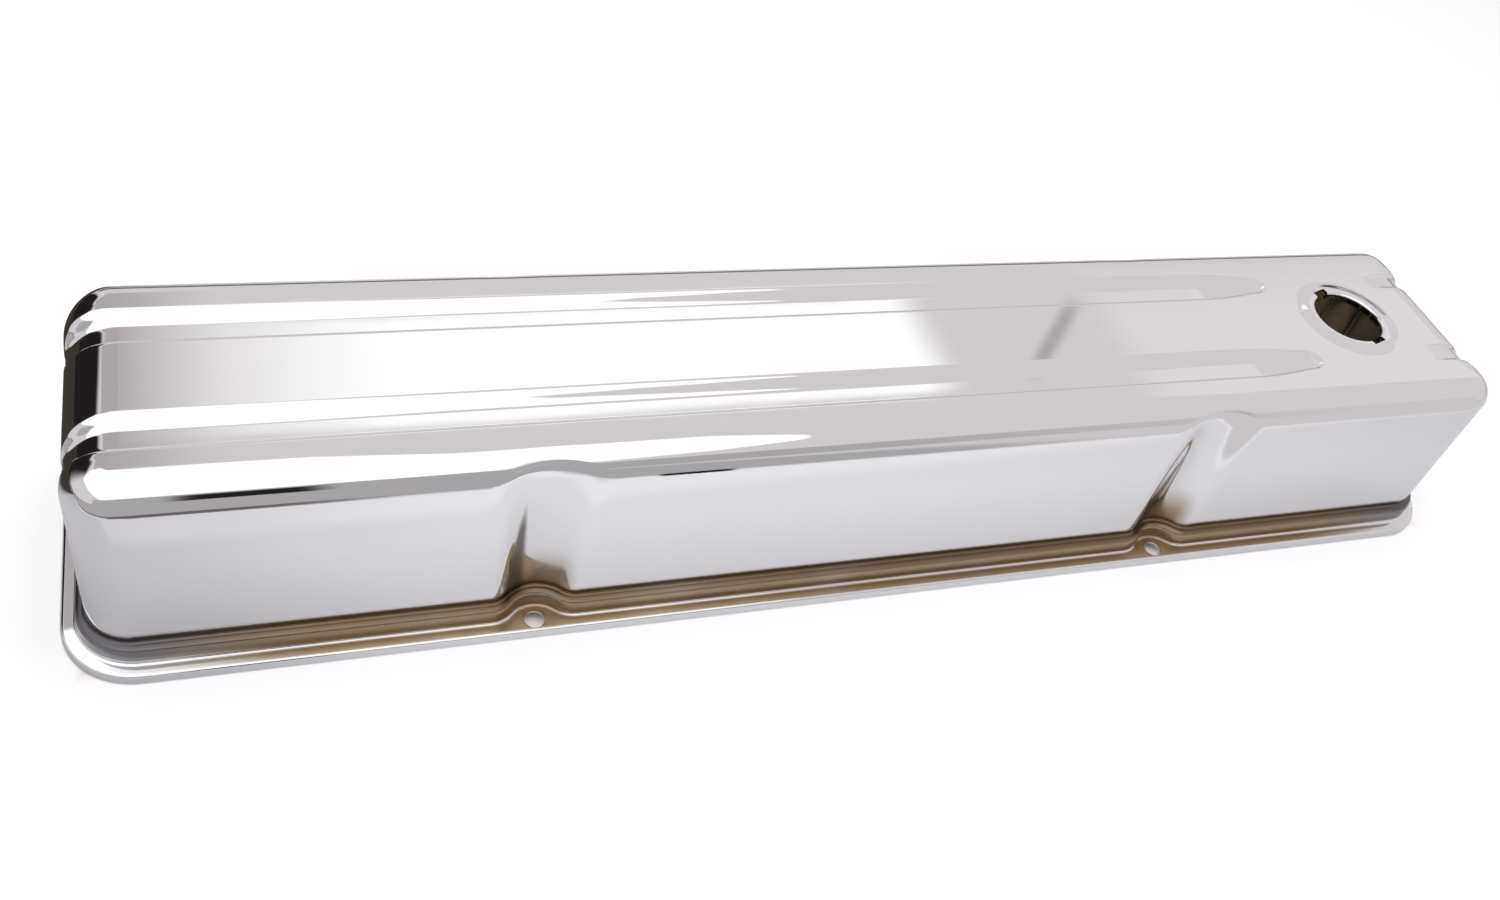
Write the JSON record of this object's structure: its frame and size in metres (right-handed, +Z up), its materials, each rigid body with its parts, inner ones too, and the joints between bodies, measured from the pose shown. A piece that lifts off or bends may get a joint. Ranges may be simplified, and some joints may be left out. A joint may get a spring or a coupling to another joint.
{
  "type": "engine valve cover",
  "caption": "Long pressed-steel valve cover with two top grooves, a round filler opening, bolt pinches in the walls and a stepped bolting flange.",
  "frame": {"origin": "centre of the cover's footprint, in the plane of the flange's lower edge", "axes": "+X along the cover towards the filler end, +Y across it, +Z up, away from the cylinder head"},
  "size_m": [0.665, 0.132, 0.099],
  "materials": {
    "cover_chrome": "bright chrome plate"
  },
  "bodies": {
    "root": {"valve_cover": "cover_chrome"}
  },
  "joints": []
}
